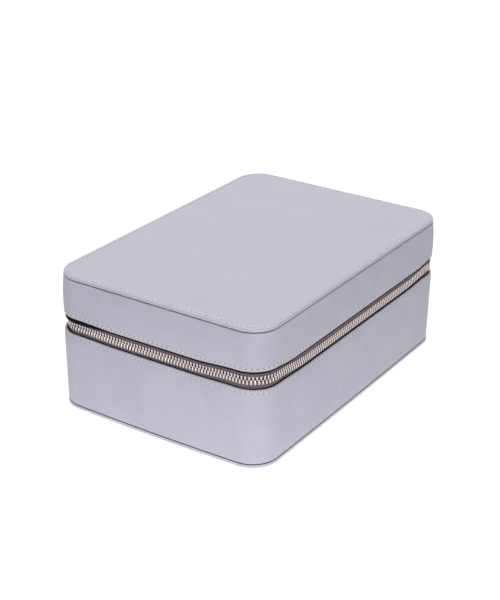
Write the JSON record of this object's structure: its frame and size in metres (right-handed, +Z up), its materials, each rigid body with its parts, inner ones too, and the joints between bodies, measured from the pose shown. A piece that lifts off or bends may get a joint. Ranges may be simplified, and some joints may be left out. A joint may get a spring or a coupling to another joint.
{
  "type": "travel jewelry case",
  "caption": "Rounded rectangular leather travel jewelry case with a zipped, mirrored lid on a leather spine, a lift-out ring tray and compartments below.",
  "frame": {"origin": "centre of the bottom face", "axes": "+Z up; the front short face towards -Y and the leather spine towards +Y; +X to the right"},
  "size_m": [0.1805, 0.254, 0.1038],
  "materials": {
    "case_leather": "satin",
    "panel_leather": "satin",
    "hinge_leather": "satin",
    "pull_leather": "satin",
    "board": "matte",
    "suede": "matte",
    "padded_suede": "matte",
    "tray_leather": "satin",
    "mirror_frame_leather": "satin",
    "mirror": "polished",
    "foam": "matte",
    "zip_tape": "matte",
    "zip_metal": "satin",
    "lift_ribbon": "satin"
  },
  "bodies": {
    "base": {"base_collar": "board", "base_divider_left_1": "padded_suede", "base_divider_left_2": "padded_suede", "base_divider_long": "padded_suede", "base_divider_right_1": "padded_suede", "base_floor_board": "board", "base_floor_lining": "suede", "base_wall_board": "board", "base_wall_leather": "case_leather", "base_wall_lining": "suede", "bottom_panel": "panel_leather", "hinge_spine": "hinge_leather", "tray_ledge_left": "suede", "tray_ledge_right": "suede", "zip_tape_lower": "zip_tape", "zip_teeth_lower": "zip_metal"},
    "lid": {"lid_top_board": "board", "lid_wall_board": "board", "lid_wall_leather": "case_leather", "lid_wall_lining": "suede", "mirror_board": "board", "mirror_frame": "mirror_frame_leather", "mirror_glass": "mirror", "top_foam": "foam", "top_panel": "panel_leather", "zip_tape_upper": "zip_tape", "zip_teeth_upper": "zip_metal"},
    "tray": {"ring_roll_1": "padded_suede", "ring_roll_2": "padded_suede", "ring_roll_3": "padded_suede", "ring_roll_4": "padded_suede", "ring_roll_5": "padded_suede", "ring_roll_6": "padded_suede", "ring_roll_7": "padded_suede", "tray_divider_left": "padded_suede", "tray_divider_long": "padded_suede", "tray_divider_right": "padded_suede", "tray_divider_rings": "padded_suede", "tray_floor": "board", "tray_frame": "tray_leather", "tray_lift_tab_back": "lift_ribbon", "tray_lift_tab_front": "lift_ribbon", "tray_lining": "suede"},
    "slider": {"zip_slider": "zip_metal"},
    "pull": {"zip_pull_link": "zip_metal", "zip_pull_tab": "pull_leather"}
  },
  "joints": [
    {"name": "lid_hinge", "type": "hinge", "parent": "base", "child": "lid", "pos_m": [0, 0.127, 0.065], "axis": [-1, 0, 0], "range_deg": [0, 100], "deforming": ["hinge_spine"]},
    {"name": "tray_lift", "type": "slide", "parent": "base", "child": "tray", "axis": [0, 0, 1], "range_m": [0, 0.025]},
    {"name": "slider_run", "type": "slide", "parent": "base", "child": "slider", "axis": [0, -1, 0], "range_m": [0, 0.191]},
    {"name": "pull_swing", "type": "hinge", "parent": "slider", "child": "pull", "pos_m": [-0.0907, 0.0955, 0.065], "axis": [0, 1, 0], "range_deg": [0, 170]}
  ]
}
